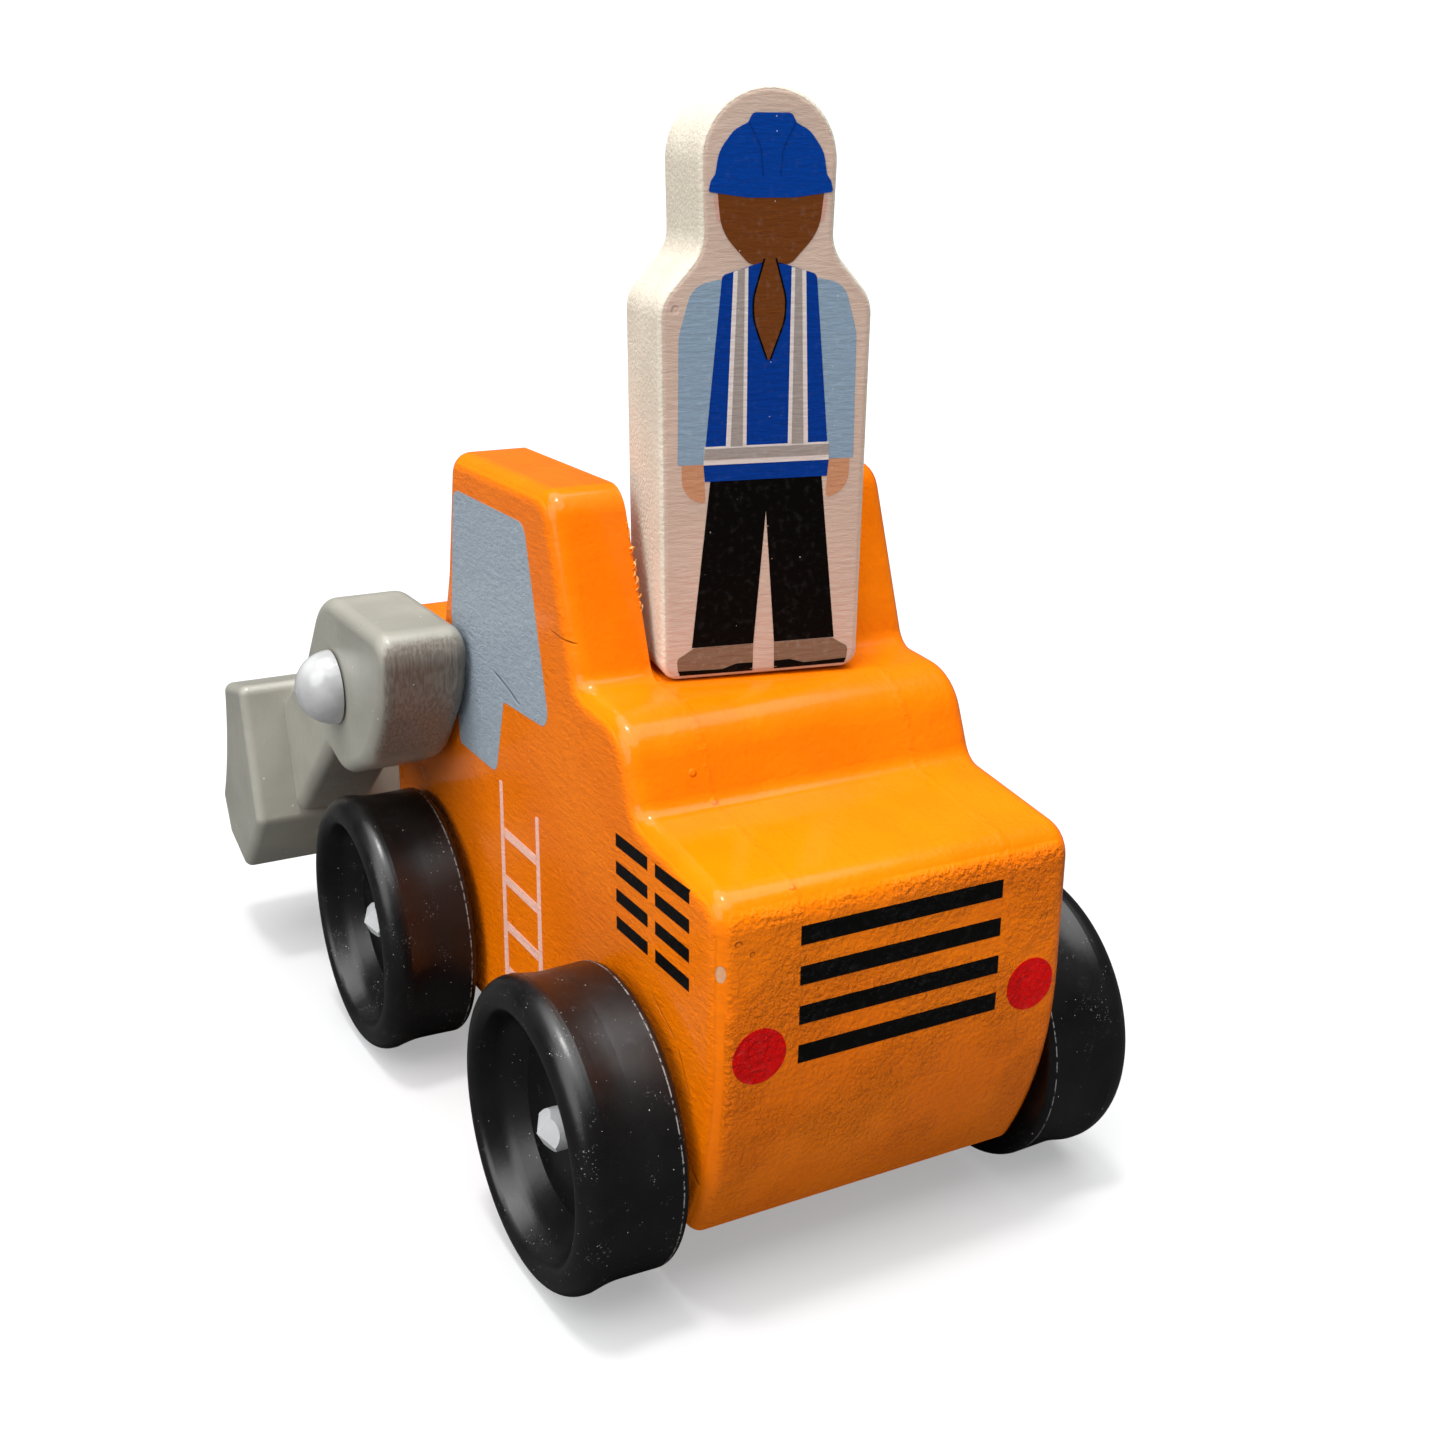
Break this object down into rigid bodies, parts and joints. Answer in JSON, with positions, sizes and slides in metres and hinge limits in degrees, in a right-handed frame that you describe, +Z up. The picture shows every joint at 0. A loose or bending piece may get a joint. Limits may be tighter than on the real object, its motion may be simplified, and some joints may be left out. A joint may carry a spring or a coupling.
{
  "type": "toy wheel loader",
  "caption": "Painted wooden toy wheel loader: layered block body with an open cab slot, rolling wheels, a front bucket on pivoting arms and a flat standing worker figure.",
  "frame": {"origin": "on the ground under the middle of the toy's bounding box", "axes": "+X forward towards the bucket, +Y to the loader's left, +Z up"},
  "size_m": [0.15, 0.091, 0.143],
  "materials": {
    "orange_wood": "thick glossy orange enamel over wood",
    "gray_wood": "satin warm grey paint over wood",
    "bare_wood": "unpainted beech",
    "white_wood": "cream white paint with a printed worker on both faces",
    "gray_plastic": "smooth moulded light grey",
    "black_plastic": "satin moulded black"
  },
  "bodies": {
    "chassis": {"side_plate_left": "orange_wood", "side_plate_right": "orange_wood", "center_block": "orange_wood", "body_dowel_rear": "bare_wood", "body_dowel_front": "bare_wood", "pivot_peg_left": "gray_plastic", "pivot_peg_right": "gray_plastic"},
    "rear_wheels": {"axle_rear": "gray_plastic", "wheel_rear_left": "black_plastic", "wheel_rear_right": "black_plastic"},
    "front_wheels": {"axle_front": "gray_plastic", "wheel_front_left": "black_plastic", "wheel_front_right": "black_plastic"},
    "loader": {"arm_left": "gray_wood", "arm_right": "gray_wood", "bucket": "gray_wood", "arm_dowel_left": "bare_wood", "arm_dowel_right": "bare_wood"},
    "figure": {"worker_figure": "white_wood"}
  },
  "joints": [
    {"name": "rear_wheels_roll", "type": "hinge", "parent": "chassis", "child": "rear_wheels", "pos_m": [-0.0525, 0, 0.02], "axis": [0, 1, 0], "continuous": true},
    {"name": "front_wheels_roll", "type": "hinge", "parent": "chassis", "child": "front_wheels", "pos_m": [0.0164, 0, 0.02], "axis": [0, 1, 0], "continuous": true},
    {"name": "loader_lift", "type": "hinge", "parent": "chassis", "child": "loader", "pos_m": [0.0225, 0, 0.057], "axis": [0, -1, 0], "range_deg": [-12, 50]},
    {"name": "figure_lift", "type": "slide", "parent": "chassis", "child": "figure", "axis": [0, 0, 1], "range_m": [0, 0.03]}
  ]
}
